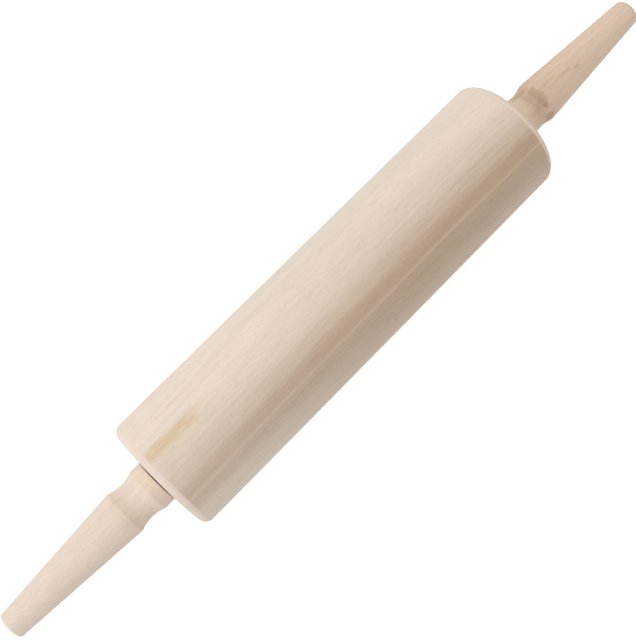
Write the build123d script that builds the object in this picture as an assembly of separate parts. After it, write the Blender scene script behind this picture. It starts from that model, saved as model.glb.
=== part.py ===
from build123d import *
import math
import os

# Turned beech rolling pin: a bored barrel that spins on a steel rod between two tapered handles.
# Millimetres. +X runs along the rod, +Z is up, and the origin is on the rod's axis at mid barrel.
# Every piece is turned about X: a half outline above that axis, revolved.

# Barrel
barrel_diameter = 64.3
barrel_length = 250.0
barrel_bevel_length = 3.9
barrel_bevel_depth = 3.9
barrel_bevel_crown = 0.8
barrel_bore_clearance = 2.0
barrel_seat_spare_depth = 1.5
barrel_seat_edge_chamfer = 0.4

# Bush, one pressed into each end of the barrel with its flange flush in the end face
bush_wall = 3.94
bush_sleeve_length = 22.0
bush_land_length = 5.0
bush_barb_depth = 0.35
bush_barb_count = 3
bush_nose_chamfer = 1.2
bush_bore_chamfer = 0.35
bush_flange_lip = 2.0
bush_flange_thickness = 1.5
bush_flange_rim_chamfer = 0.3
bush_flange_side_clearance = 0.1

# Rod, the axle that both handles are fixed on
rod_diameter = 8.0
rod_running_clearance = 0.06
rod_grip_depth = 60.0
rod_end_chamfer = 0.9
rod_knurl_length = 22.0
rod_knurl_depth = 0.45
rod_knurl_setback = 3.0
rod_knurl_count = 20
rod_glue_ring_width = 1.6
rod_glue_ring_depth = 0.4
rod_glue_ring_spacing = 4.4
rod_glue_ring_count = 3

# Thrust washer, a dark fibre one, between each bush's flange and the handle's collar
washer_diameter = 20.0
washer_thickness = 1.2
washer_bore_clearance = 0.2
end_float = 0.35

# Handle, from the flat face of its collar to its tip
handle_length = 95.0
collar_diameter = 24.5
collar_length = 6.2
collar_face_edge_chamfer = 0.3
collar_blend_radius = 4.0
neck_diameter = 21.6
neck_length = 14.7
shoulder_diameter = 24.4
shoulder_blend_radius = 4.5
tip_diameter = 14.5
tip_crown = 0.7
tip_edge_radius = 1.6
handle_bore_spare_depth = 1.0
drill_point_angle = 118.0

# Places and radii that follow from the sizes
barrel_end = barrel_length / 2
barrel_radius = barrel_diameter / 2
rod_radius = rod_diameter / 2
bush_bore_radius = rod_radius + rod_running_clearance
seat_radius = bush_bore_radius + bush_wall
flange_radius = seat_radius + bush_flange_lip
collar_face = barrel_end + end_float + washer_thickness
rod_end = collar_face + rod_grip_depth
knurl_start = rod_end - rod_knurl_setback - rod_knurl_length


def turned(outline):
    """The solid made by turning a closed outline about the rod's axis."""
    return revolve(outline.sketch, axis=Axis.X)


def left_twin(piece):
    """The mirror image of a right-hand piece, at the other end."""
    return mirror(piece, about=Plane.YZ)


def corner(outline, x, radius):
    """The outline's corner nearest to a place along the rod and a radius."""
    return outline.vertices().sort_by_distance((x, radius))[0]


def make_barrel():
    """A cylinder with crowned bevels, bored clear of the rod and stepped at each end for a bush."""
    bore_radius = rod_radius + barrel_bore_clearance
    recess_radius = flange_radius + bush_flange_side_clearance
    recess_floor = barrel_end - bush_flange_thickness
    seat_floor = recess_floor - bush_sleeve_length - barrel_seat_spare_depth
    bevel_start = (barrel_end, barrel_radius - barrel_bevel_depth)
    bevel_end = (barrel_end - barrel_bevel_length, barrel_radius)
    with BuildSketch() as outline:
        with BuildLine():
            Polyline(
                (0, bore_radius),
                (seat_floor, bore_radius),
                (seat_floor, seat_radius),
                (recess_floor - barrel_seat_edge_chamfer, seat_radius),
                (recess_floor, seat_radius + barrel_seat_edge_chamfer),
                (recess_floor, recess_radius),
                (barrel_end, recess_radius),
                bevel_start,
            )
            SagittaArc(bevel_start, bevel_end, -barrel_bevel_crown)
            Line(bevel_end, (0, barrel_radius))
            mirror(about=Plane.YZ)
        make_face()
    return turned(outline)


def barb_points(land_end, nose):
    """The sleeve's saw teeth, going inwards: each steps up square, then falls away to the next."""
    root_radius = seat_radius - bush_barb_depth
    pitch = (land_end - nose - bush_nose_chamfer) / (bush_barb_count + 1)
    points = []
    for number in range(bush_barb_count):
        step = land_end - pitch * (number + 1)
        points += [(step, root_radius), (step, seat_radius)]
    return points


def make_bush():
    """A flanged sleeve with barbs that hold in the wood, bored to run on the rod."""
    flange_back = barrel_end - bush_flange_thickness
    nose = flange_back - bush_sleeve_length
    land_end = flange_back - bush_land_length
    with BuildSketch() as outline:
        with BuildLine():
            Polyline(
                (barrel_end - bush_bore_chamfer, bush_bore_radius),
                (barrel_end, bush_bore_radius + bush_bore_chamfer),
                (barrel_end, flange_radius),
                (flange_back, flange_radius),
                (flange_back, seat_radius),
                (land_end, seat_radius),
                *barb_points(land_end, nose),
                (nose, seat_radius - bush_nose_chamfer),
                (nose, bush_bore_radius + bush_bore_chamfer),
                (nose + bush_bore_chamfer, bush_bore_radius),
                close=True,
            )
        make_face()
        chamfer(corner(outline, barrel_end, flange_radius), length=bush_flange_rim_chamfer)
    return turned(outline)


def make_washer():
    """A flat ring that lies against the collar."""
    outer_radius = washer_diameter / 2
    inner_radius = rod_radius + washer_bore_clearance
    with BuildSketch() as outline:
        with BuildLine():
            Polyline(
                (collar_face - washer_thickness, inner_radius),
                (collar_face - washer_thickness, outer_radius),
                (collar_face, outer_radius),
                (collar_face, inner_radius),
                close=True,
            )
        make_face()
    return turned(outline)


def knurl():
    """Straight V grooves round the rod near its end, where it bites into the handle."""
    with BuildPart() as grooves:
        with BuildSketch(Plane.YZ.offset(knurl_start)):
            with PolarLocations(rod_radius, rod_knurl_count):
                RegularPolygon(rod_knurl_depth, side_count=4)
        extrude(amount=rod_knurl_length)
    return grooves.part


def glue_ring(middle):
    """A square groove turned round the rod, which keeps the glue from being scraped off."""
    with BuildSketch() as outline:
        with Locations((middle, rod_radius)):
            Rectangle(rod_glue_ring_width, 2 * rod_glue_ring_depth)
    return turned(outline)


def make_rod():
    """A round bar with chamfered ends, knurled and grooved where each handle grips it."""
    with BuildSketch() as outline:
        with BuildLine():
            Polyline(
                (0, 0),
                (rod_end, 0),
                (rod_end, rod_radius - rod_end_chamfer),
                (rod_end - rod_end_chamfer, rod_radius),
                (0, rod_radius),
            )
            mirror(about=Plane.YZ)
        make_face()
    rings = [glue_ring(knurl_start - rod_glue_ring_spacing * (n + 1)) for n in range(rod_glue_ring_count)]
    rod = turned(outline)
    for cut in [knurl(), *rings]:
        rod = rod - cut - left_twin(cut)
    return rod


def make_handle():
    """A short collar, a hollow neck, a shoulder and a long straight taper to a crowned tip."""
    tip = collar_face + handle_length
    collar_end = (collar_face + collar_length, collar_diameter / 2)
    neck = (collar_face + collar_length + neck_length / 2, neck_diameter / 2)
    shoulder = (collar_face + collar_length + neck_length, shoulder_diameter / 2)
    taper_end = (tip - tip_crown, tip_diameter / 2)
    bore_end = rod_end + handle_bore_spare_depth
    drill_point = bore_end + rod_radius / math.tan(math.radians(drill_point_angle / 2))
    with BuildSketch() as outline:
        with BuildLine():
            Polyline(
                (tip, 0),
                (drill_point, 0),
                (bore_end, rod_radius),
                (collar_face, rod_radius),
                (collar_face, collar_diameter / 2),
                collar_end,
            )
            ThreePointArc(collar_end, neck, shoulder)
            Line(shoulder, taper_end)
            TangentArc((tip, 0), taper_end, tangent=(0, 1))
        make_face()
        chamfer(corner(outline, collar_face, collar_diameter / 2), length=collar_face_edge_chamfer)
        fillet(corner(outline, *collar_end), radius=collar_blend_radius)
        fillet(corner(outline, *shoulder), radius=shoulder_blend_radius)
        fillet(corner(outline, *taper_end), radius=tip_edge_radius)
    return turned(outline)


def write_pieces():
    """One STEP file for each piece, named after it."""
    os.makedirs("parts", exist_ok=True)
    pieces = {"barrel": make_barrel(), "axle_rod": make_rod()}
    for name, make in (("bush", make_bush), ("thrust_washer", make_washer), ("handle", make_handle)):
        right = make()
        pieces["right_" + name] = right
        pieces["left_" + name] = left_twin(right)
    for name, piece in pieces.items():
        export_step(piece, "parts/" + name + ".step")


write_pieces()
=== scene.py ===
import math

import bpy
from bpy.props import FloatProperty, FloatVectorProperty, IntProperty, PointerProperty
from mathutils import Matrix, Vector


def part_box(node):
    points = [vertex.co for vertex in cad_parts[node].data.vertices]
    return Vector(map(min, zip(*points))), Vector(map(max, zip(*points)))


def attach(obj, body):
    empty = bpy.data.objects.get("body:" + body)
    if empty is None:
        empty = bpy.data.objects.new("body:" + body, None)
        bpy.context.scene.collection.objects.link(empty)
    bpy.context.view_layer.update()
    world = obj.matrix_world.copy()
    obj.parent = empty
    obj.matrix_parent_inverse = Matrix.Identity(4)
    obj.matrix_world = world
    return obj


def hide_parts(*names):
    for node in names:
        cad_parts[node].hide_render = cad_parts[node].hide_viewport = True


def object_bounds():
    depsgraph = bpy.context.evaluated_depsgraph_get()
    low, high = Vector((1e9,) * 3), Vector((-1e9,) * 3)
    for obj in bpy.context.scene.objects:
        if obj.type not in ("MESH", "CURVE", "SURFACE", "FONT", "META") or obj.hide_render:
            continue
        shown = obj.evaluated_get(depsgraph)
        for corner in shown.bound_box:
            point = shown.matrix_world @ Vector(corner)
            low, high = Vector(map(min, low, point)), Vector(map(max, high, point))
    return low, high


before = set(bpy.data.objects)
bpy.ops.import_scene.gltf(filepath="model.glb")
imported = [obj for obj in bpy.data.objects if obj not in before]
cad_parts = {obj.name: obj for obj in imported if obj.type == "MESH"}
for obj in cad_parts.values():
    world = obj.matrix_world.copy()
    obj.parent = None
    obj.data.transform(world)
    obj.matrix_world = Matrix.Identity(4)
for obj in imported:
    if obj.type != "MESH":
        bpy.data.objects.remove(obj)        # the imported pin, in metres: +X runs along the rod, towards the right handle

bl_info = {
    "name": "Turned Rolling Pin",
    "version": (1, 0, 0),
    "blender": (4, 5, 0),
    "location": "View3D > Sidebar > Rolling Pin",
    "description": "Turns the beech barrel and handles of a rolling pin and finishes every piece of it",
    "category": "Add Mesh",
}

MM = 0.001
cad_low, cad_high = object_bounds()
barrel_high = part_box("barrel")[1]
handle_low, handle_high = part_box("right_handle")
rod_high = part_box("axle_rod")[1]
bush_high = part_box("right_bush")[1]


# Properties, the sizes and colours that a user would change

def size_of(name, default, description):
    """A length that the sidebar shows in the scene's unit."""
    return FloatProperty(
        name=name, description=description, default=default, min=0.0, precision=5, unit="LENGTH"
    )


def place_of(name, default, description):
    """A point that the sidebar shows in the scene's unit."""
    return FloatVectorProperty(name=name, description=description, default=default, unit="LENGTH")


def colour_of(name, default, description):
    """A colour given in linear red, green and blue."""
    return FloatVectorProperty(
        name=name, description=description, default=default, min=0.0, max=1.0, size=3, subtype="COLOR"
    )


def share_of(name, default, description):
    """A plain share from nothing to all."""
    return FloatProperty(
        name=name, description=description, default=default, min=0.0, max=1.0, subtype="FACTOR"
    )


def angle_of(name, degrees, description):
    """An angle, given here in degrees."""
    return FloatProperty(
        name=name, description=description, default=math.radians(degrees), subtype="ANGLE"
    )


def power_of(name, default, description):
    """A lamp's power in watts."""
    return FloatProperty(name=name, description=description, default=default, min=0.0, unit="POWER")


class BarrelSizes(bpy.types.PropertyGroup):
    """Sizes of the barrel that rolls."""

    end: size_of("Half Length", barrel_high.x, "From the middle of the barrel to an end face")
    radius: size_of("Radius", barrel_high.z, "Of the rolling surface")
    bevel_length: size_of("Bevel Length", 3.9 * MM, "How far the bevel reaches along the barrel")
    bevel_depth: size_of("Bevel Depth", 3.9 * MM, "How much smaller the end face is, in radius")
    bevel_crown: size_of("Bevel Crown", 0.8 * MM, "How far the bevel swells out of its straight line")
    crease_ease: size_of("Crease Ease", 0.25 * MM, "Radius that sanding leaves on the bevel's creases")
    bore_radius: size_of("Bore Radius", 6.0 * MM, "Of the clearance bore round the rod")
    seat_radius: size_of("Bush Seat Radius", 8.0 * MM, "Of the hole for the bush's sleeve")
    seat_depth: size_of("Bush Seat Depth", 25.0 * MM, "From the end face to the bottom of that hole")
    recess_radius: size_of("Flange Recess Radius", bush_high.z + 0.1 * MM, "Round the bush's flange")
    recess_depth: size_of("Flange Recess Depth", 1.5 * MM, "Of that recess")
    seat_edge: size_of("Seat Edge Chamfer", 0.4 * MM, "Chamfer that leads the bush into its seat")
    unevenness: size_of("Unevenness", 0.03 * MM, "How far sanding leaves the surface from round")
    segments: IntProperty(name="Segments", description="Flats round the barrel", default=192, min=24)


class HandleSizes(bpy.types.PropertyGroup):
    """Sizes of a handle, from the flat face of its collar to its tip."""

    face: size_of("Collar Face", handle_low.x, "From the middle of the pin to the collar's flat face")
    tip: size_of("Tip", handle_high.x, "From the middle of the pin to the end of the handle")
    collar_radius: size_of("Collar Radius", 12.25 * MM, "Of the short collar next to the barrel")
    collar_length: size_of("Collar Length", 6.2 * MM, "Along the rod")
    collar_ease: size_of("Collar Edge", 0.35 * MM, "Radius of the collar's outer edge")
    collar_blend: size_of("Collar Blend", 4.0 * MM, "Radius where the collar runs into the neck")
    neck_radius: size_of("Neck Radius", 10.8 * MM, "Of the neck at its thinnest")
    neck_length: size_of("Neck Length", 14.7 * MM, "From the collar to the shoulder")
    neck_flank: share_of("Neck Flank", 0.365, "Slope of the neck's sides where its hollow ends")
    shoulder_radius: size_of("Shoulder Radius", 12.2 * MM, "Of the ridge where the taper starts")
    shoulder_blend: size_of("Shoulder Blend", 4.5 * MM, "Radius where the neck runs into the taper")
    tip_radius: size_of("Tip Radius", 7.25 * MM, "Of the thin end of the taper")
    tip_crown: size_of("Tip Crown", 0.7 * MM, "How far the end swells")
    tip_ease: size_of("Tip Edge", 1.6 * MM, "Radius of the end's edge")
    bore_radius: size_of("Bore Radius", rod_high.z, "Of the blind hole that the rod is glued into")
    bore_end: size_of("Bore End", rod_high.x + 1.0 * MM, "From the middle of the pin to the hole's end")
    drill_point: angle_of("Drill Point", 118.0, "Angle of the hole's cone")
    unevenness: size_of("Unevenness", 0.03 * MM, "How far sanding leaves the surface from round")
    segments: IntProperty(name="Segments", description="Flats round the handle", default=128, min=24)


class BeechColours(bpy.types.PropertyGroup):
    """Colours of the bare, sanded beech."""

    sapwood: colour_of("Sapwood", (0.815, 0.70, 0.595), "The pale wood of most of the barrel")
    mid_wood: colour_of("Mid Wood", (0.765, 0.635, 0.53), "Where the sapwood starts to darken")
    warm_wood: colour_of("Warm Wood", (0.67, 0.53, 0.415), "Beside the red band")
    heart: colour_of("Red Heart", (0.565, 0.405, 0.295), "The reddish band along the barrel")
    old_heart: colour_of("Old Heart", (0.55, 0.42, 0.31), "The browner wood past the red band")
    grey_heart: colour_of("Grey Heart", (0.67, 0.54, 0.43), "The greyer wood farther on")
    # Painted light: the colour that the barrel's left end is lightened towards, standing in for the
    # brighter light there.
    bleached: colour_of("Bleached Wood", (0.87, 0.765, 0.665), "What the left end fades towards")
    # Also laid as painted shade on the left handle's shoulder flank that faces the barrel.
    stain: colour_of("Mineral Stain", (0.69, 0.47, 0.24), "The orange streak near the left end")
    end_grain: colour_of("Cut Ends", (0.80, 0.68, 0.595), "The pinker wood where the fibres are cut")
    # Painted light: a lighter colour for the barrel's right cut end than for its left, standing in for
    # light on that bevel.
    right_end_painted_light: colour_of("Right Cut End", (0.97, 0.80, 0.67), "The paler cut end on the barrel's right")
    left_handle: colour_of("Left Handle", (0.81, 0.685, 0.58), "The pale wood of the left handle")
    left_collar: colour_of("Left Collar", (0.86, 0.72, 0.53), "The yellower wood of its collar")
    right_handle: colour_of("Right Handle", (0.68, 0.51, 0.36), "The warmer wood of the right handle")
    right_streaks: colour_of("Right Streaks", (0.76, 0.575, 0.435), "The pinker streaks in it")
    # The pale wood at the right handle's tip, and painted light on its neck by the collar and on its lower
    # side.
    right_pale_and_painted_light: colour_of("Pale Right Wood", (0.88, 0.69, 0.54), "At its collar, its tip and underneath")
    # Brown wood marks, and painted shade on the neck's top and on the shoulder's flank that faces the
    # barrel.
    brown_mark_and_shade: colour_of("Brown Marks", (0.36, 0.22, 0.14), "The brown marks near its shoulder")
    orange_mark: colour_of("Orange Mark", (0.50, 0.27, 0.14), "The orange mark beside them")


class StageSettings(bpy.types.PropertyGroup):
    """The floor, the light and the camera."""

    floor_colour: colour_of("Floor", (0.82, 0.82, 0.82), "The plain floor")
    floor_fill: share_of("Floor Fill", 0.6, "White that the camera sees on top of the floor's shading")
    sky: share_of("Even Light", 0.62, "How bright the even light from all sides is")
    key_power: power_of("Key Power", 2.8, "Of the soft lamp behind")
    key_size: size_of("Key Size", 0.9, "Side of the soft lamp behind")
    key_place: place_of("Key Place", (-0.12, 0.90, 0.78), "Where the soft lamp behind hangs")
    side_power: power_of("Side Power", 16.5, "Of the soft lamp on the left")
    side_size: size_of("Side Size", 1.3, "Side of the soft lamp on the left")
    side_place: place_of("Side Place", (-1.75, 0.22, 1.31), "Where the soft lamp on the left hangs")
    azimuth: angle_of("Azimuth", -45.649, "Camera's way round the pin")
    elevation: angle_of("Elevation", 77.320, "Camera above the horizon")
    distance: size_of("Distance", 509.5 * MM, "From the camera to the rod's axis")
    aim: FloatProperty(name="Aim", description="Place on the rod's axis in mid picture",
                       default=-15.51 * MM, unit="LENGTH")
    lens: FloatProperty(name="Lens", description="Focal length on a 36 mm picture", default=57.43)


class PinSettings(bpy.types.PropertyGroup):
    """All that the sidebar offers for the pin."""

    barrel: PointerProperty(type=BarrelSizes)
    handle: PointerProperty(type=HandleSizes)
    beech: PointerProperty(type=BeechColours)
    stage: PointerProperty(type=StageSettings)


# Node trees, built with sums that read as sums

class Number:
    """An output in a node tree that can be added, scaled and compared like a plain number."""

    def __init__(self, bench, socket):
        self.bench = bench
        self.socket = socket

    def __add__(self, other):
        return self.bench.math("ADD", self, other)

    def __sub__(self, other):
        return self.bench.math("SUBTRACT", self, other)

    def __rsub__(self, other):
        return self.bench.math("SUBTRACT", other, self)

    def __mul__(self, other):
        return self.bench.math("MULTIPLY", self, other)

    def __truediv__(self, other):
        return self.bench.math("DIVIDE", self, other)

    def __neg__(self):
        return self.bench.math("MULTIPLY", self, -1.0)


class Bench:
    """A node tree with short ways to add nodes and wire them."""

    def __init__(self, tree):
        self.tree = tree

    def feed(self, socket, value):
        """Gives an input a wire from another node, or a plain value."""
        if isinstance(value, Number):
            value = value.socket
        if isinstance(value, bpy.types.NodeSocket):
            self.tree.links.new(value, socket)
        else:
            socket.default_value = value

    def add(self, kind, settings=None, **inputs):
        """A new node, with its settings and its inputs by name, where a space is written as _."""
        node = self.tree.nodes.new(kind)
        for name, value in (settings or {}).items():
            setattr(node, name, value)
        for name, value in inputs.items():
            self.feed(node.inputs[name.replace("_", " ")], value)
        return node

    def math(self, operation, *values):
        """A sum of numbers."""
        node = self.add("ShaderNodeMath", {"operation": operation})
        for socket, value in zip(node.inputs, values):
            self.feed(socket, value)
        return Number(self, node.outputs[0])

    def vector_math(self, operation, *values):
        """A sum of vectors, or the number that it gives."""
        node = self.add("ShaderNodeVectorMath", {"operation": operation})
        for socket, value in zip(node.inputs, values):
            self.feed(socket, value)
        gives_number = operation in {"LENGTH", "DISTANCE"}
        return Number(self, node.outputs["Value"]) if gives_number else node.outputs["Vector"]

    def vector(self, x=0.0, y=0.0, z=0.0):
        """A vector from three numbers."""
        return self.add("ShaderNodeCombineXYZ", X=x, Y=y, Z=z).outputs[0]

    def grey(self, value):
        """The same number as a colour's red, green and blue."""
        return self.vector(value, value, value)

    def split(self, vector):
        """A vector's three numbers."""
        return [Number(self, out) for out in self.add("ShaderNodeSeparateXYZ", Vector=vector).outputs]

    def ramp(self, value, start, stop, low=0.0, high=1.0, kind="SMOOTHSTEP"):
        """A number that eases from low to high while value goes from start to stop."""
        node = self.add("ShaderNodeMapRange", {"interpolation_type": kind}, Value=value, From_Min=start,
                        From_Max=stop, To_Min=low, To_Max=high)
        return Number(self, node.outputs["Result"])

    def bump_of(self, value, start, full, full_end, stop):
        """A number that rises to 1, stays there and falls again while value goes from start to stop."""
        return self.ramp(value, start, full) * self.ramp(value, full_end, stop, 1.0, 0.0)

    def noise(self, vector, detail=2.0, roughness=0.5, scale=1.0):
        """Smooth noise from 0 to 1."""
        node = self.add("ShaderNodeTexNoise", {"noise_dimensions": "3D"}, Vector=vector, Scale=scale,
                        Detail=detail, Roughness=roughness)
        return Number(self, node.outputs[0])

    def blend(self, share, under, over, mode="MIX"):
        """One colour laid over another, by a share."""
        node = self.add("ShaderNodeMix", {"data_type": "RGBA", "blend_type": mode})
        self.feed(node.inputs["Factor"], share)
        self.feed(node.inputs[6], under)
        self.feed(node.inputs[7], over)
        return node.outputs[2]

    def bands(self, value, stops):
        """A colour that passes from stop to stop, each a number and its colour, as value grows."""
        first, last = stops[0][0], stops[-1][0]
        node = self.add("ShaderNodeValToRGB")
        self.feed(node.inputs[0], self.ramp(value, first, last, kind="LINEAR"))
        node.color_ramp.interpolation = "EASE"
        elements = node.color_ramp.elements
        while len(elements) < len(stops):
            elements.new(1.0)
        for element, (number, colour) in zip(elements, stops):
            element.position = (number - first) / (last - first)
            element.color = opaque(colour)
        return node.outputs["Color"]


def opaque(colour):
    """A red, green and blue as a node's colour."""
    return (colour[0], colour[1], colour[2], 1.0)


def new_group(name, kind, inputs, outputs):
    """An empty node group with named inputs and outputs: its bench, its inputs and its output node."""
    tree = bpy.data.node_groups.new(name, kind)
    for label, (socket_type, default) in inputs.items():
        socket = tree.interface.new_socket(label, in_out="INPUT", socket_type=socket_type)
        if default is not None:
            socket.default_value = default
    for label, socket_type in outputs.items():
        tree.interface.new_socket(label, in_out="OUTPUT", socket_type=socket_type)
    bench = Bench(tree)
    given = {socket.name: socket for socket in bench.add("NodeGroupInput").outputs if socket.name}
    return bench, given, bench.add("NodeGroupOutput")


# Geometry nodes, the lathe that turns an outline into a piece

HUB = 0.1 * MM
MERGE = 0.002 * MM
FLATS_PER_METRE = Vector((22.0, 70.0, 70.0))
CREASE = math.radians(30)


def lathe(bench, given, out, corners, closed):
    """Joins the corners, rounds each by its own radius and turns the outline about the X axis."""
    line = bench.add("GeometryNodeMeshLine", Count=len(corners))
    places = [bench.vector(radius - HUB, along) for along, radius, _ in corners]
    placed = bench.add("GeometryNodeSetPosition", Geometry=line.outputs[0],
                       Position=by_number(bench, "VECTOR", places))
    outline = bench.add("GeometryNodeMeshToCurve", Mesh=placed.outputs[0])
    outline = bench.add("GeometryNodeSetSplineCyclic", Geometry=outline.outputs[0], Cyclic=closed)
    rounded = bench.add("GeometryNodeFilletCurve", {"mode": "POLY"}, Curve=outline.outputs[0],
                        Count=given["Corner Points"], Limit_Radius=True,
                        Radius=by_number(bench, "FLOAT", [ease for _, _, ease in corners]))
    outline = evenly_cut(bench, rounded.outputs[0], given["Ring Spacing"])
    hub = bench.add("GeometryNodeCurvePrimitiveCircle", Resolution=given["Segments"], Radius=HUB)
    turned = bench.add("GeometryNodeCurveToMesh", Curve=hub.outputs[0], Profile_Curve=outline)
    upright = bench.add("GeometryNodeTransform", Geometry=turned.outputs[0],
                        Rotation=(0.0, -math.pi / 2, 0.0))
    whole = bench.add("GeometryNodeMergeByDistance", Geometry=upright.outputs[0], Distance=MERGE)
    sanded = sand(bench, whole.outputs[0], given["Unevenness"], given["Seed"])
    facing = bench.add("GeometryNodeTransform", Geometry=sanded, Rotation=bench.vector(z=given["Turn"]))
    smooth = bench.add("GeometryNodeSetShadeSmooth", Geometry=facing.outputs[0])
    real = bench.add("GeometryNodeRealizeInstances", Geometry=smooth.outputs[0])
    finished = bench.add("GeometryNodeSetMaterial", Geometry=real.outputs[0], Material=given["Material"])
    bench.feed(out.inputs["Geometry"], finished.outputs[0])


def by_number(bench, kind, values):
    """A field that gives each corner of the outline its own value, in order."""
    switch = bench.add("GeometryNodeIndexSwitch", {"data_type": kind})
    while len(switch.index_switch_items) < len(values):
        switch.index_switch_items.new()
    bench.feed(switch.inputs["Index"], bench.add("GeometryNodeInputIndex").outputs[0])
    for socket, value in zip(list(switch.inputs)[1:], values):
        bench.feed(socket, value)
    return switch.outputs[0]


def evenly_cut(bench, outline, spacing):
    """Cuts the outline's long straight runs into short ones."""
    here = bench.add("GeometryNodeInputPosition").outputs[0]
    following = bench.add("GeometryNodeOffsetPointInCurve", Offset=1).outputs["Point Index"]
    there = bench.add("GeometryNodeFieldAtIndex", {"data_type": "FLOAT_VECTOR"}, Index=following,
                      Value=here)
    run = bench.vector_math("DISTANCE", here, there.outputs[0])
    cuts = bench.math("FLOOR", run / spacing)
    return bench.add("GeometryNodeSubdivideCurve", Curve=outline, Cuts=cuts).outputs[0]


def sand(bench, mesh, unevenness, seed):
    """Moves the surface in and out a little, in long soft flats along the piece."""
    here = bench.add("GeometryNodeInputPosition").outputs[0]
    place = bench.vector_math("MULTIPLY", here, FLATS_PER_METRE)
    node = bench.add("ShaderNodeTexNoise", {"noise_dimensions": "4D"}, Vector=place, W=seed, Scale=1.0,
                     Detail=1.0)
    lift = (Number(bench, node.outputs[0]) - 0.5) * 2.0 * Number(bench, unevenness)
    normal = bench.add("GeometryNodeInputNormal").outputs[0]
    offset = bench.vector_math("MULTIPLY", normal, bench.grey(lift))
    return bench.add("GeometryNodeSetPosition", Geometry=mesh, Offset=offset).outputs[0]


LATHE_INPUTS = {
    "Unevenness": ("NodeSocketFloat", 0.03 * MM),
    "Segments": ("NodeSocketInt", 128),
    "Corner Points": ("NodeSocketInt", 10),
    "Ring Spacing": ("NodeSocketFloat", 2.5 * MM),
    "Turn": ("NodeSocketFloat", 0.0),
    "Seed": ("NodeSocketFloat", 0.0),
    "Material": ("NodeSocketMaterial", None),
}


def turning_tree(name, sizes, corners_of, closed):
    """A lathe's node tree, with an input for each size of the piece that it turns."""
    inputs = {"Geometry": ("NodeSocketGeometry", None)}
    inputs.update({label: ("NodeSocketFloat", value) for label, value in sizes.items()})
    inputs.update(LATHE_INPUTS)
    bench, given, out = new_group(name, "GeometryNodeTree", inputs, {"Geometry": "NodeSocketGeometry"})
    numbers = {label: Number(bench, given[label]) for label in sizes}
    lathe(bench, given, out, corners_of(bench, numbers), closed)
    return bench.tree


def barrel_corners(bench, size):
    """The barrel's closed outline: the outside, its bevels, the recesses, the seats and the bore."""
    length, depth = size["Bevel Length"], size["Bevel Depth"]
    half_chord = bench.math("SQRT", length * length + depth * depth) / 2.0
    swell = size["Bevel Crown"] / half_chord
    crown_radius = (half_chord / swell + half_chord * swell) / 2.0
    crown_share = 0.97  # what the creases at both ends leave of the crown's arc
    rise = swell / (1.0 - swell * swell)
    end, radius = size["Half Length"], size["Radius"]
    bevel_middle = (end - length / 2.0 + rise * depth, radius - depth / 2.0 + rise * length)
    recess_floor = end - size["Flange Recess Depth"]
    seat_floor = end - size["Bush Seat Depth"]
    edge = size["Seat Edge Chamfer"]
    right = [
        (end - length, radius, size["Crease Ease"]),
        (*bevel_middle, crown_radius * crown_share),
        (end, radius - depth, size["Crease Ease"]),
        (end, size["Flange Recess Radius"], 0.0),
        (recess_floor, size["Flange Recess Radius"], 0.0),
        (recess_floor, size["Bush Seat Radius"] + edge, 0.0),
        (recess_floor - edge, size["Bush Seat Radius"], 0.0),
        (seat_floor, size["Bush Seat Radius"], 0.0),
        (seat_floor, size["Bore Radius"], 0.0),
    ]
    left = [(-along, radius, ease) for along, radius, ease in reversed(right)]
    return right + left


def handle_corners(bench, size):
    """A handle's outline, from the point of its blind hole round the collar and along to its tip."""
    face, tip = size["Collar Face"], size["Tip"]
    drill_tip = size["Bore End"] + size["Bore Radius"] / bench.math("TANGENT", size["Drill Point"] / 2.0)
    neck_start = face + size["Collar Length"]
    half_neck = size["Neck Length"] / 2.0
    ridge = (size["Collar Radius"] + size["Shoulder Radius"]) / 2.0
    flank = size["Neck Flank"]
    lean = bench.math("SQRT", flank * flank + 1.0) - 1.0
    hollow = (half_neck * flank - ridge + size["Neck Radius"]) / lean
    flat_radius = size["Tip Radius"] * 0.45
    crown_radius = size["Tip Radius"] * 3.0
    return [
        (drill_tip, 0.0, 0.0),
        (size["Bore End"], size["Bore Radius"], 0.0),
        (face, size["Bore Radius"], 0.0),
        (face, size["Collar Radius"], size["Collar Edge"]),
        (neck_start, size["Collar Radius"], size["Collar Blend"]),
        (neck_start + half_neck, ridge - half_neck * flank, hollow),
        (neck_start + size["Neck Length"], size["Shoulder Radius"], size["Shoulder Blend"]),
        (tip - size["Tip Crown"], size["Tip Radius"], size["Tip Edge"]),
        (tip, flat_radius, crown_radius),
        (tip, 0.0, 0.0),
    ]


def turn_piece(context, name, tree, values, body, node):
    """Runs a lathe's tree once, keeps its result as a plain mesh and lets it stand for a CAD node."""
    blank = bpy.data.objects.new(name + "_blank", bpy.data.meshes.new(name + "_blank"))
    context.scene.collection.objects.link(blank)
    modifier = blank.modifiers.new("Lathe", "NODES")
    modifier.node_group = tree
    for item in tree.interface.items_tree:
        if item.in_out == "INPUT" and item.name in values:
            modifier[item.identifier] = values[item.name]
    evaluated = blank.evaluated_get(context.evaluated_depsgraph_get())
    mesh = bpy.data.meshes.new_from_object(evaluated)
    mesh.name = name
    bpy.data.objects.remove(blank)
    if not mesh.polygons:
        raise RuntimeError("The lathe made no mesh for " + name)
    mesh.set_sharp_from_angle(angle=CREASE)
    piece = bpy.data.objects.new(name, mesh)
    context.scene.collection.objects.link(piece)
    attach(piece, body)
    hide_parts(node)


# Shader groups, the effects that several finishes share

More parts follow.
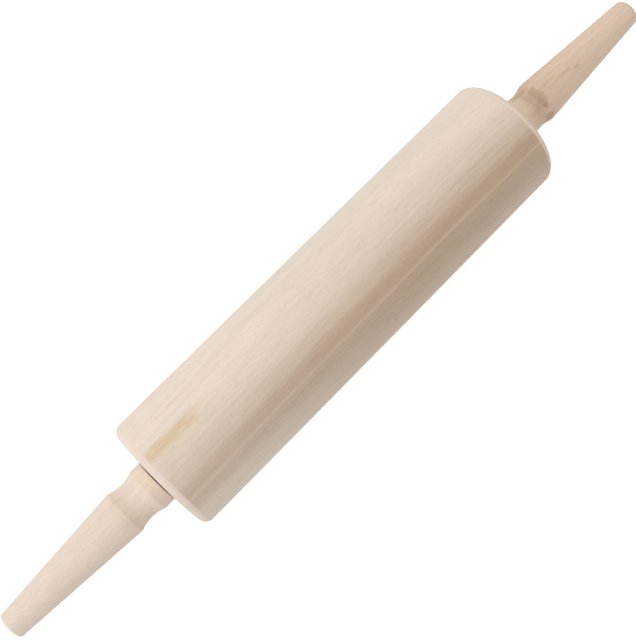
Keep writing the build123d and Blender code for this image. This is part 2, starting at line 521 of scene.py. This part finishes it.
def beech_figure():
    """Growth rings round a pith that runs along X, with the flecks, streaks and fibres along it."""
    bench, given, out = new_group(
        "Beech Figure",
        "ShaderNodeTree",
        {
            "Vector": ("NodeSocketVector", None),
            "Ring Width": ("NodeSocketFloat", 2.6 * MM),
            "Waver": ("NodeSocketFloat", 1.6 * MM),
            "Bow": ("NodeSocketFloat", 0.0),
            "Fleck Length": ("NodeSocketFloat", 3.2 * MM),
            "Fleck Width": ("NodeSocketFloat", 0.6 * MM),
        },
        {
            "Depth": "NodeSocketFloat",
            "Rings": "NodeSocketFloat",
            "Flecks": "NodeSocketFloat",
            "Streaks": "NodeSocketFloat",
            "Fibres": "NodeSocketFloat",
            "Cloud": "NodeSocketFloat",
        },
    )
    place = given["Vector"]
    along, across, up = bench.split(place)
    slow = bench.noise(bench.vector_math("MULTIPLY", place, Vector((6.0, 30.0, 30.0))))
    quick = bench.noise(bench.vector_math("MULTIPLY", place, Vector((26.0, 90.0, 90.0))))
    waver = (slow * 1.3 + quick * 0.7 - 1.0) * Number(bench, given["Waver"])
    bow = along * along * Number(bench, given["Bow"])
    depth = bench.math("SQRT", across * across + up * up) + waver + bow
    years = depth / Number(bench, given["Ring Width"]) + bench.noise(bench.vector(depth * 90.0)) * 3.0
    late_wood = bench.bump_of(bench.math("FRACT", years), 0.25, 0.85, 0.88, 1.0)
    strong_years = bench.ramp(bench.noise(bench.vector(years * 0.4, along * 4.0)), 0.38, 0.68, 0.1, 1.0)
    bench.feed(out.inputs["Depth"], depth)
    bench.feed(out.inputs["Rings"], late_wood * strong_years)
    bench.feed(out.inputs["Flecks"], ray_flecks(bench, given, along, across, up))
    for name, stretched in (
        ("Streaks", bench.vector(along * 20.0, depth * 700.0)),
        ("Fibres", bench.vector_math("MULTIPLY", place, Vector((120.0, 1000.0, 1000.0)))),
        ("Cloud", bench.vector_math("MULTIPLY", place, Vector((13.0, 80.0, 80.0)))),
    ):
        bench.feed(out.inputs[name], bench.noise(stretched, detail=3.0, roughness=0.55))
    return bench.tree


def ray_flecks(bench, given, along, across, up):
    """Short dark dashes along the grain, where the wood's rays come to the surface."""
    length = Number(bench, given["Fleck Length"])
    width = Number(bench, given["Fleck Width"])
    cells = bench.vector(along / length, across / width, up / width)
    node = bench.add("ShaderNodeTexVoronoi", {"voronoi_dimensions": "3D", "feature": "F1"}, Vector=cells,
                     Scale=1.0, Randomness=1.0)
    fleck = bench.ramp(Number(bench, node.outputs["Distance"]), 0.12, 0.36, 1.0, 0.0)
    dark = bench.split(node.outputs["Color"])[0]
    return fleck * bench.ramp(dark, 0.3, 1.0, 0.1, 1.0)


def cut_ends():
    """Where the surface cuts across the fibres: 0 along them, 1 on an end face."""
    bench, given, out = new_group(
        "Cut Ends",
        "ShaderNodeTree",
        {"Start": ("NodeSocketFloat", 0.3), "Stop": ("NodeSocketFloat", 0.8)},
        {"Mask": "NodeSocketFloat", "Pores": "NodeSocketFloat"},
    )
    where = bench.add("ShaderNodeTexCoord")
    facing = bench.math("ABSOLUTE", bench.split(where.outputs["Normal"])[0])
    bench.feed(out.inputs["Mask"], bench.ramp(facing, given["Start"], given["Stop"]))
    bench.feed(out.inputs["Pores"], bench.noise(where.outputs["Object"], scale=2600.0))
    return bench.tree


def soft_mark():
    """One soft, ragged mark of its own place and size, used for marks in the wood and for painted shade
    and painted light.
    """
    bench, given, out = new_group(
        "Soft Mark",
        "ShaderNodeTree",
        {
            "Vector": ("NodeSocketVector", None),
            "Centre": ("NodeSocketVector", (0.0, 0.0, 0.0)),
            "Reach": ("NodeSocketVector", (0.01, 0.01, 0.01)),
            "Ragged": ("NodeSocketFloat", 0.5),
            "Grain": ("NodeSocketFloat", 300.0),
        },
        {"Mask": "NodeSocketFloat"},
    )
    from_centre = bench.vector_math("SUBTRACT", given["Vector"], given["Centre"])
    distance = bench.vector_math("LENGTH", bench.vector_math("DIVIDE", from_centre, given["Reach"]))
    streaky = bench.vector_math("MULTIPLY", given["Vector"], Vector((0.3, 1.0, 1.0)))
    rough = bench.noise(streaky, detail=3.0, scale=given["Grain"]) - 0.5
    mask = bench.ramp(distance + rough * 2.0 * Number(bench, given["Ragged"]), 0.3, 1.0, 1.0, 0.0)
    bench.feed(out.inputs["Mask"], mask)
    return bench.tree


def worked_marks():
    """Fine marks left by drawing along the rod's axis, or by punching through a flat piece."""
    bench, given, out = new_group(
        "Worked Marks",
        "ShaderNodeTree",
        {"Vector": ("NodeSocketVector", None), "Fineness": ("NodeSocketFloat", 6000.0)},
        {"Drawn": "NodeSocketFloat", "Pressed": "NodeSocketFloat"},
    )
    along, across, up = bench.split(given["Vector"])
    fine = Number(bench, given["Fineness"])
    bench.feed(out.inputs["Drawn"], bench.noise(bench.vector(along * 60.0, across * fine, up * fine)))
    flat = bench.vector(along * fine, across * fine * 0.2, up * fine * 0.2)
    bench.feed(out.inputs["Pressed"], bench.noise(flat, detail=4.0, roughness=0.6))
    return bench.tree


def shared_group(build):
    """A shader group that is built once and then used by every finish that needs it."""
    name = build.__name__.replace("_", " ").title()
    return bpy.data.node_groups.get(name) or build()


# Finishes

def new_material(name):
    """A material with an empty tree: the material, its bench and its output."""
    material = bpy.data.materials.new(name)
    material.use_nodes = True
    material.node_tree.nodes.clear()
    bench = Bench(material.node_tree)
    return material, bench, bench.add("ShaderNodeOutputMaterial")


def use_group(bench, build, **inputs):
    """Places a shared group in a material and returns its outputs by name."""
    node = bench.add("ShaderNodeGroup", {"node_tree": shared_group(build)}, **inputs)
    return {socket.name: Number(bench, socket) for socket in node.outputs}


def grain_of(bench, pith, lean, **inputs):
    """Object coordinates, and the beech figure round a pith at this place and lean."""
    where = bench.add("ShaderNodeTexCoord").outputs["Object"]
    place = bench.add("ShaderNodeMapping", {"vector_type": "TEXTURE"}, Vector=where, Location=pith,
                      Rotation=lean)
    return where, use_group(bench, beech_figure, Vector=place.outputs[0], **inputs)


def lay_marks(bench, where, colour, marks):
    """Lays marks over a colour. Each has its centre and its reach, both in millimetres, how ragged it
    is, how fine its raggedness is, its strength and its colour."""
    for centre, reach, ragged, grain, strength, tint in marks:
        mark = use_group(bench, soft_mark, Vector=where, Centre=[step * MM for step in centre],
                         Reach=[step * MM for step in reach], Ragged=ragged, Grain=grain)
        colour = bench.blend(mark["Mask"] * strength, colour, opaque(tint))
    return colour


def sanded_beech(bench, out, colour, figure, ring_tone, fleck_tone, end_colour, ends_from, ends_to):
    """Lays rings, flecks, fibres and cut ends over a wood's colour, with the relief that they leave."""
    ends = use_group(bench, cut_ends, Start=ends_from, Stop=ends_to)
    side = 1.0 - ends["Mask"]
    colour = bench.blend(figure["Rings"] * ring_tone * side, colour, (0.72, 0.60, 0.50, 1.0), "MULTIPLY")
    colour = bench.blend(figure["Flecks"] * fleck_tone * side, colour, (0.60, 0.45, 0.34, 1.0), "MULTIPLY")
    tone = (bench.ramp(figure["Cloud"], 0.3, 0.7, 0.975, 1.025)
            * bench.ramp(figure["Streaks"], 0.3, 0.7, 0.985, 1.015)
            * bench.ramp(figure["Fibres"], 0.25, 0.75, 0.96, 1.04))
    colour = bench.blend(side, colour, bench.grey(tone), "MULTIPLY")
    colour = bench.blend(ends["Mask"] * 0.85, colour, end_colour)
    dotted = bench.ramp(ends["Pores"], 0.3, 0.7, 0.95, 1.03)
    colour = bench.blend(ends["Mask"], colour, bench.grey(dotted), "MULTIPLY")
    height = figure["Fibres"] * 0.5 - figure["Flecks"] * 0.35 + ends["Pores"] * ends["Mask"] * 0.6
    bump = bench.add("ShaderNodeBump", Strength=0.3, Distance=0.05 * MM, Height=height)
    shader = bench.add("ShaderNodeBsdfPrincipled", Base_Color=colour, Normal=bump.outputs[0],
                       Roughness=bench.ramp(figure["Fibres"], 0.2, 0.8, 0.54, 0.66),
                       Specular_IOR_Level=side * 0.18 + 0.02)
    bench.feed(out.inputs["Surface"], shader.outputs[0])


def barrel_beech(look):
    """Pale beech with a red heart band along one side, a short orange mineral streak, painted light
    towards its left end and on its right cut end.
    """
    material, bench, out = new_material("Barrel beech")
    where, figure = grain_of(bench, pith=(45.0 * MM, -98.5 * MM, -33.0 * MM), lean=(0.0, 0.0, 0.0),
                             Bow=0.12, Waver=2.2 * MM)
    depth = figure["Depth"]
    colour = bench.bands(depth, (
        (78 * MM, look.grey_heart),
        (95 * MM, look.old_heart),
        (100 * MM, look.heart),
        (104 * MM, look.heart),
        (109.5 * MM, look.warm_wood),
        (118 * MM, look.mid_wood),
        (130 * MM, look.sapwood),
    ))
    pale_line = bench.bump_of(depth, 98.0 * MM, 99.0 * MM, 99.3 * MM, 100.4 * MM)
    colour = bench.blend(pale_line * 0.3, colour, opaque(look.sapwood))
    along = bench.split(where)[0]
    # Painted light: the barrel is lightened towards its left end, where more light falls, and its deep,
    # lower wood there (paler) more still.
    colour = bench.blend(bench.ramp(along, -130 * MM, 40 * MM, 0.28, 0.0), colour, opaque(look.bleached))
    paler = bench.ramp(along, -130 * MM, 20 * MM, 0.6, 0.0) * bench.ramp(depth, 97 * MM, 88 * MM)
    colour = bench.blend(paler, colour, opaque(look.bleached))
    colour = lay_marks(bench, where, colour, (
        ((-108, 2.5, 31.6), (32, 9, 8), 0.4, 200.0, 0.18, look.stain),
        ((-113, 5.5, 31.6), (25, 4.4, 8), 0.6, 260.0, 0.5, look.stain),
        ((-95, 5.2, 31.6), (13, 4, 8), 0.8, 300.0, 0.25, look.stain),
    ))
    # Painted light: the cut ends pass to the lighter right-end colour at the barrel's right.
    at_right = bench.ramp(along, 110 * MM, 120 * MM)
    ends = bench.blend(at_right, opaque(look.end_grain), opaque(look.right_end_painted_light))
    rings = bench.ramp(depth, 112 * MM, 124 * MM, 0.19, 0.07)
    sanded_beech(bench, out, colour, figure, rings, 0.26, ends, 0.06, 0.2)
    return material


def left_handle_beech(look):
    """Pale, plain beech, a little yellower at the collar, with painted shade on the shoulder's flank that
    faces the barrel.
    """
    material, bench, out = new_material("Left handle beech")
    where, figure = grain_of(bench, pith=(0.0, 60 * MM, -70 * MM), lean=(0.0, math.radians(0.8), 0.0),
                             Ring_Width=3.2 * MM)
    colour = lay_marks(bench, where, opaque(look.left_handle), (
        ((-128, 0, 12), (6, 14, 9), 0.4, 200.0, 0.5, look.left_collar),
        # Painted shade: darkens the shoulder's flank that faces the barrel.
        ((-146.5, -3, 11), (7, 14, 8), 0.4, 200.0, 0.12, look.stain),
    ))
    sanded_beech(bench, out, colour, figure, 0.1, 0.3, opaque(look.end_grain), 0.4, 0.85)
    return material


def right_handle_beech(look):
    """Warmer beech with long pinkish streaks and brown marks near the shoulder, some of them painted
    shade, with painted light on the neck by the collar and on the lower side.
    """
    material, bench, out = new_material("Right handle beech")
    where, figure = grain_of(bench, pith=(0.0, 60 * MM, -52 * MM),
                             lean=(0.0, math.radians(2.0), math.radians(1.0)), Waver=3.2 * MM)
    streaked = bench.ramp(figure["Cloud"] * 0.5 + figure["Streaks"] * 0.5, 0.4, 0.6)
    colour = bench.blend(streaked, opaque(look.right_handle), opaque(look.right_streaks))
    along, across, _ = bench.split(where)
    colour = bench.blend(bench.ramp(along, 150 * MM, 205 * MM, 0.0, 0.6), colour, opaque(look.right_pale_and_painted_light))
    # Painted light: the lower side, towards -Y, is lightened.
    colour = bench.blend(bench.ramp(across, 2 * MM, -9 * MM, 0.0, 0.45), colour, opaque(look.right_pale_and_painted_light))
    colour = lay_marks(bench, where, colour, (
        # Painted light: lightens the neck beside the collar, where the barrel's shadow falls.
        ((133.5, 0, 11), (8, 16, 9), 0.3, 200.0, 0.9, look.right_pale_and_painted_light),
        # Painted shade: a dark band under the neck's pale top edge.
        ((141, 8, 8), (7, 2.4, 5), 0.5, 400.0, 0.3, look.brown_mark_and_shade),
        # Partly brown marks, partly painted shade: the shoulder's flank that faces the barrel.
        ((143, 0, 11), (5.5, 14, 7), 0.4, 350.0, 0.2, look.brown_mark_and_shade),
        ((145.8, -1, 12), (3.5, 10, 6), 0.5, 350.0, 0.33, look.brown_mark_and_shade),
        ((145.5, -6.6, 10.2), (1.9, 2.5, 4), 0.6, 600.0, 0.45, look.brown_mark_and_shade),
        ((145.3, -11.2, 4.2), (4.5, 3, 4), 0.6, 500.0, 0.55, look.orange_mark),
        ((155, 1.5, 11.5), (9, 1.3, 3), 0.7, 400.0, 0.18, look.brown_mark_and_shade),
        ((165, -0.8, 11.3), (8, 1.3, 3), 0.7, 400.0, 0.2, look.brown_mark_and_shade),
        ((172.3, -3, 11), (5, 0.9, 3), 0.6, 600.0, 0.36, look.brown_mark_and_shade),
    ))
    sanded_beech(bench, out, colour, figure, 0.16, 0.3, opaque(look.right_handle), 0.5, 0.95)
    return material


def worked_surface(name, metallic, colour, marks_named, contrast, roughness):
    """A material that shows the fine marks of how its piece was made."""
    material, bench, out = new_material(name)
    where = bench.add("ShaderNodeTexCoord").outputs["Object"]
    marks = use_group(bench, worked_marks, Vector=where)[marks_named]
    tone = bench.ramp(marks, 0.3, 0.7, 1.0 - contrast, 1.0 + contrast / 2)
    shaded = bench.blend(1.0, opaque(colour), bench.grey(tone), "MULTIPLY")
    bump = bench.add("ShaderNodeBump", Strength=0.25, Distance=0.01 * MM, Height=marks)
    shader = bench.add("ShaderNodeBsdfPrincipled", Base_Color=shaded, Metallic=metallic,
                       Normal=bump.outputs[0],
                       Roughness=bench.ramp(marks, 0.2, 0.8, roughness - 0.06, roughness + 0.08))
    bench.feed(out.inputs["Surface"], shader.outputs[0])
    return material


def moulded_nylon():
    """Off-white nylon, slightly uneven as moulded."""
    material, bench, out = new_material("Moulded nylon")
    where = bench.add("ShaderNodeTexCoord").outputs["Object"]
    flow = bench.noise(where, detail=3.0, scale=180.0)
    grain = bench.noise(where, scale=3500.0)
    colour = bench.blend(bench.ramp(flow, 0.3, 0.7), (0.62, 0.59, 0.51, 1.0), (0.69, 0.66, 0.58, 1.0))
    bump = bench.add("ShaderNodeBump", Strength=0.2, Distance=0.02 * MM, Height=grain)
    shader = bench.add("ShaderNodeBsdfPrincipled", Base_Color=colour, Normal=bump.outputs[0],
                       Roughness=bench.ramp(grain, 0.2, 0.8, 0.36, 0.5))
    bench.feed(out.inputs["Surface"], shader.outputs[0])
    return material


def dress(nodes, material):
    """Gives CAD nodes' own meshes this material."""
    for node in nodes:
        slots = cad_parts[node].data.materials
        slots.clear()
        slots.append(material)


# Operators, one for each group of pieces and one for the stage

def sizes_by_name(group, names):
    """The group's sizes by the names that the lathe's inputs have."""
    labels = group.bl_rna.properties
    return {labels[name].name: getattr(group, name) for name in names}


class PIN_OT_turn_barrel(bpy.types.Operator):
    """Turn the barrel on the lathe and finish it as sanded beech"""

    bl_idname = "pin.turn_barrel"
    bl_label = "Turn Barrel"

    def execute(self, context):
        settings = context.scene.rolling_pin
        size = settings.barrel
        sizes = sizes_by_name(size, (
            "end", "radius", "bevel_length", "bevel_depth", "bevel_crown", "crease_ease", "bore_radius",
            "seat_radius", "seat_depth", "recess_radius", "recess_depth", "seat_edge",
        ))
        tree = turning_tree("Turned barrel", sizes, barrel_corners, closed=True)
        values = {
            **sizes,
            "Unevenness": size.unevenness,
            "Segments": size.segments,
            "Seed": 3.0,
            "Material": barrel_beech(settings.beech),
        }
        turn_piece(context, "turned_barrel", tree, values, "roller", "barrel")
        return {"FINISHED"}


class PIN_OT_turn_handles(bpy.types.Operator):
    """Turn both handles on the lathe and finish each in its own piece of beech"""

    bl_idname = "pin.turn_handles"
    bl_label = "Turn Handles"

    def execute(self, context):
        settings = context.scene.rolling_pin
        size = settings.handle
        sizes = sizes_by_name(size, (
            "face", "tip", "collar_radius", "collar_length", "collar_ease", "collar_blend",
            "neck_radius", "neck_length", "neck_flank", "shoulder_radius", "shoulder_blend",
            "tip_radius", "tip_crown", "tip_ease", "bore_radius", "bore_end", "drill_point",
        ))
        tree = turning_tree("Turned handle", sizes, handle_corners, closed=False)
        for side, turn, finish in (
            ("left", math.pi, left_handle_beech),
            ("right", 0.0, right_handle_beech),
        ):
            values = {
                **sizes,
                "Unevenness": size.unevenness,
                "Segments": size.segments,
                "Ring Spacing": 1.0 * MM,
                "Turn": turn,
                "Seed": 5.0 + turn,
                "Material": finish(settings.beech),
            }
            node = side + "_handle"
            turn_piece(context, "turned_" + node, tree, values, "handles", node)
        return {"FINISHED"}


class PIN_OT_finish_rod(bpy.types.Operator):
    """Give the rod its drawn finish"""

    bl_idname = "pin.finish_rod"
    bl_label = "Finish Rod"

    def execute(self, context):
        steel = worked_surface("Drawn steel", 1.0, (0.52, 0.52, 0.53), "Drawn", 0.12, 0.3)
        dress(["axle_rod"], steel)
        return {"FINISHED"}


class PIN_OT_finish_bearings(bpy.types.Operator):
    """Give the bushes their moulded nylon and the thrust washers their dark fibre, whose darkness is
    partly painted shade in the gap beside each collar
    """

    bl_idname = "pin.finish_bearings"
    bl_label = "Finish Bearings"

    def execute(self, context):
        dress(["left_bush", "right_bush"], moulded_nylon())
        # Partly painted shade: the washers' very dark fibre darkens the gap between the barrel and each
        # collar.
        fibre = worked_surface("Dark fibre and gap shade", 0.0, (0.055, 0.03, 0.02), "Pressed", 0.3, 0.6)
        dress(["left_thrust_washer", "right_thrust_washer"], fibre)
        return {"FINISHED"}


def white_to_the_camera(bench):
    """1 for what the camera sees straight, in a reflection or through glass, 0 for light on the pin."""
    path = bench.add("ShaderNodeLightPath").outputs
    seen = bench.math("MAXIMUM", path["Is Camera Ray"], path["Is Glossy Ray"])
    return bench.math("MAXIMUM", seen, path["Is Transmission Ray"])


def make_floor(context, stage):
    """A plain pale floor under the barrel that keeps its shadow and looks white to the camera."""
    reach, level = 3.0, cad_low.z
    corners = [
        (across * reach, deep * reach, level) for across, deep in ((-1, -1), (1, -1), (1, 1), (-1, 1))
    ]
    mesh = bpy.data.meshes.new("floor")
    mesh.from_pydata(corners, [], [(0, 1, 2, 3)])
    floor = bpy.data.objects.new("floor", mesh)
    context.scene.collection.objects.link(floor)
    material, bench, out = new_material("Floor")
    diffuse = bench.add("ShaderNodeBsdfPrincipled", Roughness=1.0, Base_Color=opaque(stage.floor_colour))
    diffuse.inputs["Specular IOR Level"].default_value = 0.0
    glow = bench.add("ShaderNodeEmission", Strength=white_to_the_camera(bench) * stage.floor_fill)
    both = bench.add("ShaderNodeAddShader")
    bench.feed(both.inputs[0], diffuse.outputs[0])
    bench.feed(both.inputs[1], glow.outputs[0])
    bench.feed(out.inputs["Surface"], both.outputs[0])
    mesh.materials.append(material)


def make_sky(context, stage):
    """Even light from all sides, white where the camera sees it."""
    world = bpy.data.worlds.new("Studio")
    context.scene.world = world
    world.use_nodes = True
    world.node_tree.nodes.clear()
    bench = Bench(world.node_tree)
    strength = white_to_the_camera(bench) * (1.0 - stage.sky) + stage.sky
    background = bench.add("ShaderNodeBackground", Color=(1.0, 1.0, 1.0, 1.0), Strength=strength)
    output = bench.add("ShaderNodeOutputWorld")
    bench.feed(output.inputs["Surface"], background.outputs[0])


def hang_lamp(context, name, power, size, place):
    """A square soft lamp that faces the middle of the pin."""
    lamp = bpy.data.lights.new(name, "AREA")
    lamp.energy = power
    lamp.shape = "SQUARE"
    lamp.size = size
    holder = bpy.data.objects.new(name, lamp)
    context.scene.collection.objects.link(holder)
    holder.location = place
    holder.rotation_mode = "QUATERNION"
    holder.rotation_quaternion = (-Vector(place)).to_track_quat("-Z", "Y")


def make_camera(context, stage):
    """The viewing angle: level, from above and in front of the pin."""
    lens = bpy.data.cameras.new("camera")
    lens.lens = stage.lens
    lens.sensor_width = 36.0
    lens.clip_start = 0.01
    lens.clip_end = 50.0
    camera = bpy.data.objects.new("camera", lens)
    context.scene.collection.objects.link(camera)
    flat = math.cos(stage.elevation)
    back = Vector((
        math.sin(stage.azimuth) * flat,
        -math.cos(stage.azimuth) * flat,
        math.sin(stage.elevation),
    ))
    camera.location = Vector((stage.aim, 0.0, 0.0)) + back * stage.distance
    camera.rotation_mode = "QUATERNION"
    camera.rotation_quaternion = (-back).to_track_quat("-Z", "Y")
    context.scene.camera = camera


class PIN_OT_set_stage(bpy.types.Operator):
    """Lay the floor, set the soft light and place the camera"""

    bl_idname = "pin.set_stage"
    bl_label = "Set Stage"

    def execute(self, context):
        stage = context.scene.rolling_pin.stage
        make_floor(context, stage)
        make_sky(context, stage)
        hang_lamp(context, "key", stage.key_power, stage.key_size, stage.key_place)
        hang_lamp(context, "side", stage.side_power, stage.side_size, stage.side_place)
        make_camera(context, stage)
        context.scene.view_settings.view_transform = "Standard"
        return {"FINISHED"}


class PIN_PT_sidebar(bpy.types.Panel):
    """The pin's sizes, colours and steps"""

    bl_label = "Rolling Pin"
    bl_idname = "PIN_PT_sidebar"
    bl_space_type = "VIEW_3D"
    bl_region_type = "UI"
    bl_category = "Rolling Pin"

    def draw(self, context):
        settings = context.scene.rolling_pin
        for heading, group, operators in (
            ("Barrel", settings.barrel, [PIN_OT_turn_barrel]),
            ("Handles", settings.handle, [PIN_OT_turn_handles]),
            ("Beech", settings.beech, []),
            ("Steel, nylon and fibre", None, [PIN_OT_finish_rod, PIN_OT_finish_bearings]),
            ("Stage", settings.stage, [PIN_OT_set_stage]),
        ):
            box = self.layout.box()
            box.label(text=heading)
            for name in group.__annotations__ if group else ():
                box.prop(group, name)
            for operator in operators:
                box.operator(operator.bl_idname)


OPERATORS = (
    PIN_OT_turn_barrel, PIN_OT_turn_handles, PIN_OT_finish_rod, PIN_OT_finish_bearings, PIN_OT_set_stage,
)
CLASSES = (BarrelSizes, HandleSizes, BeechColours, StageSettings, PinSettings, *OPERATORS, PIN_PT_sidebar)


def register():
    """Adds the classes and the settings that they share."""
    for cls in CLASSES:
        bpy.utils.register_class(cls)
    bpy.types.Scene.rolling_pin = PointerProperty(type=PinSettings)


def unregister():
    """Takes them away again."""
    del bpy.types.Scene.rolling_pin
    for cls in reversed(CLASSES):
        bpy.utils.unregister_class(cls)


def main():
    """Makes every piece and the stage, in order."""
    register()
    bpy.ops.pin.turn_barrel()
    bpy.ops.pin.turn_handles()
    bpy.ops.pin.finish_rod()
    bpy.ops.pin.finish_bearings()
    bpy.ops.pin.set_stage()


if __name__ == "__main__":
    main()
